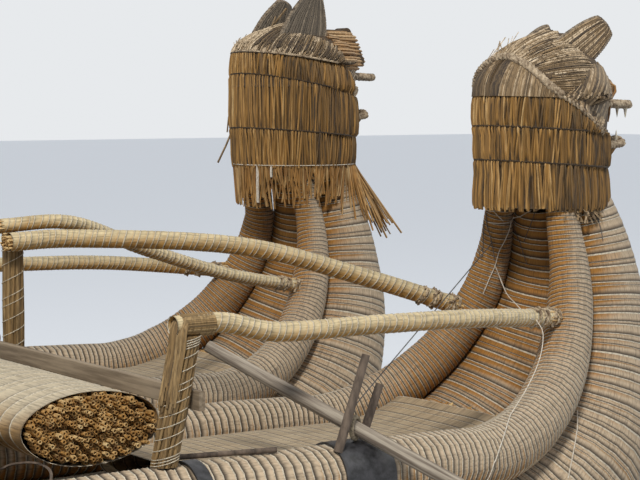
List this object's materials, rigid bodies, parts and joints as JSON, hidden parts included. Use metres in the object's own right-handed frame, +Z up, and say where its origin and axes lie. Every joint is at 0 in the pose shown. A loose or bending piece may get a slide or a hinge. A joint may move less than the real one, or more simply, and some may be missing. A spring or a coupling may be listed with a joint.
{
  "type": "double-hulled reed boat",
  "caption": "Twin-hulled boat of bound reed bundles, bows ending in woven big-cat heads, with a reed deck, bundle seats, hand rails and oars in rope rings.",
  "frame": {"origin": "on the waterline, amidships on the centreline between the two hulls", "axes": "+X forward to the bows, +Y to port, +Z up"},
  "size_m": [8.8775, 6.9743, 2.7462],
  "materials": {
    "hull_reed": "matte dry reed stems bound with twine",
    "pale_reed": "matte bleached reed",
    "head_reed": "matte golden reed",
    "seat_reed": "matte golden reed, cut ends hollow",
    "rail_reed": "matte straw bundle with spiral twine",
    "tooth_reed": "matte pale reed tips",
    "rough_wood": "rough dark branch wood",
    "bar_wood": "planed weathered board",
    "oar_wood": "weathered grey-brown wood",
    "strap_rubber": "black rubber strap, slightly glossy",
    "rope": "worn fibre rope",
    "twine": "taut thin synthetic line"
  },
  "bodies": {
    "hull": {"starboard_main_outer": "hull_reed", "starboard_main_inner": "hull_reed", "starboard_gunwale_outer": "hull_reed", "starboard_gunwale_inner": "hull_reed", "starboard_floor_pad": "pale_reed", "starboard_head_skirt_band": "head_reed", "starboard_head_jowl_band": "head_reed", "starboard_head_brow_band": "head_reed", "starboard_head_dome": "head_reed", "starboard_head_face": "head_reed", "starboard_head_ears": "head_reed", "starboard_head_upper_jaw": "head_reed", "starboard_head_lower_jaw": "head_reed", "starboard_post": "rail_reed", "starboard_rail_outer": "rail_reed", "starboard_thole_pins": "rough_wood", "starboard_rubber_wraps": "strap_rubber", "port_main_outer": "hull_reed", "port_main_inner": "hull_reed", "port_gunwale_outer": "hull_reed", "port_gunwale_inner": "hull_reed", "port_floor_pad": "pale_reed", "port_head_skirt_band": "head_reed", "port_head_jowl_band": "head_reed", "port_head_brow_band": "head_reed", "port_head_dome": "head_reed", "port_head_face": "head_reed", "port_head_ears": "head_reed", "port_head_upper_jaw": "head_reed", "port_head_lower_jaw": "head_reed", "port_post": "rail_reed", "port_rail_outer": "rail_reed", "port_thole_pins": "rough_wood", "port_rubber_wraps": "strap_rubber", "thwart_front": "seat_reed", "thwart_rear": "seat_reed", "deck_bundles": "seat_reed", "starboard_head_teeth": "tooth_reed", "port_head_fringe": "head_reed", "centre_post": "rail_reed", "back_bar": "bar_wood", "rail_starboard": "rail_reed", "rail_port": "rail_reed", "starboard_stay": "twine", "lashing_stick": "rough_wood"},
    "starboard_grommet": {"starboard_oar_grommet": "rope"},
    "starboard_oar": {"starboard_oar_loom": "oar_wood", "starboard_oar_blade": "oar_wood"},
    "port_grommet": {"port_oar_grommet": "rope"},
    "port_oar": {"port_oar_loom": "oar_wood", "port_oar_blade": "oar_wood"}
  },
  "joints": [
    {"name": "starboard_oar_swing", "type": "hinge", "parent": "hull", "child": "starboard_grommet", "pos_m": [2.725, -1.3998, 0.6242], "axis": [0, 0, 1], "range_deg": [-43, 12]},
    {"name": "starboard_oar_lift", "type": "hinge", "parent": "starboard_grommet", "child": "starboard_oar", "pos_m": [2.725, -1.3998, 0.6242], "axis": [-0.8387, -0.5446, 0], "range_deg": [0, 18]},
    {"name": "port_oar_swing", "type": "hinge", "parent": "hull", "child": "port_grommet", "pos_m": [2.725, 1.3998, 0.6242], "axis": [0, 0, -1], "range_deg": [-43, 12]},
    {"name": "port_oar_lift", "type": "hinge", "parent": "port_grommet", "child": "port_oar", "pos_m": [2.725, 1.3998, 0.6242], "axis": [0.8387, -0.5446, 0], "range_deg": [0, 18]}
  ]
}
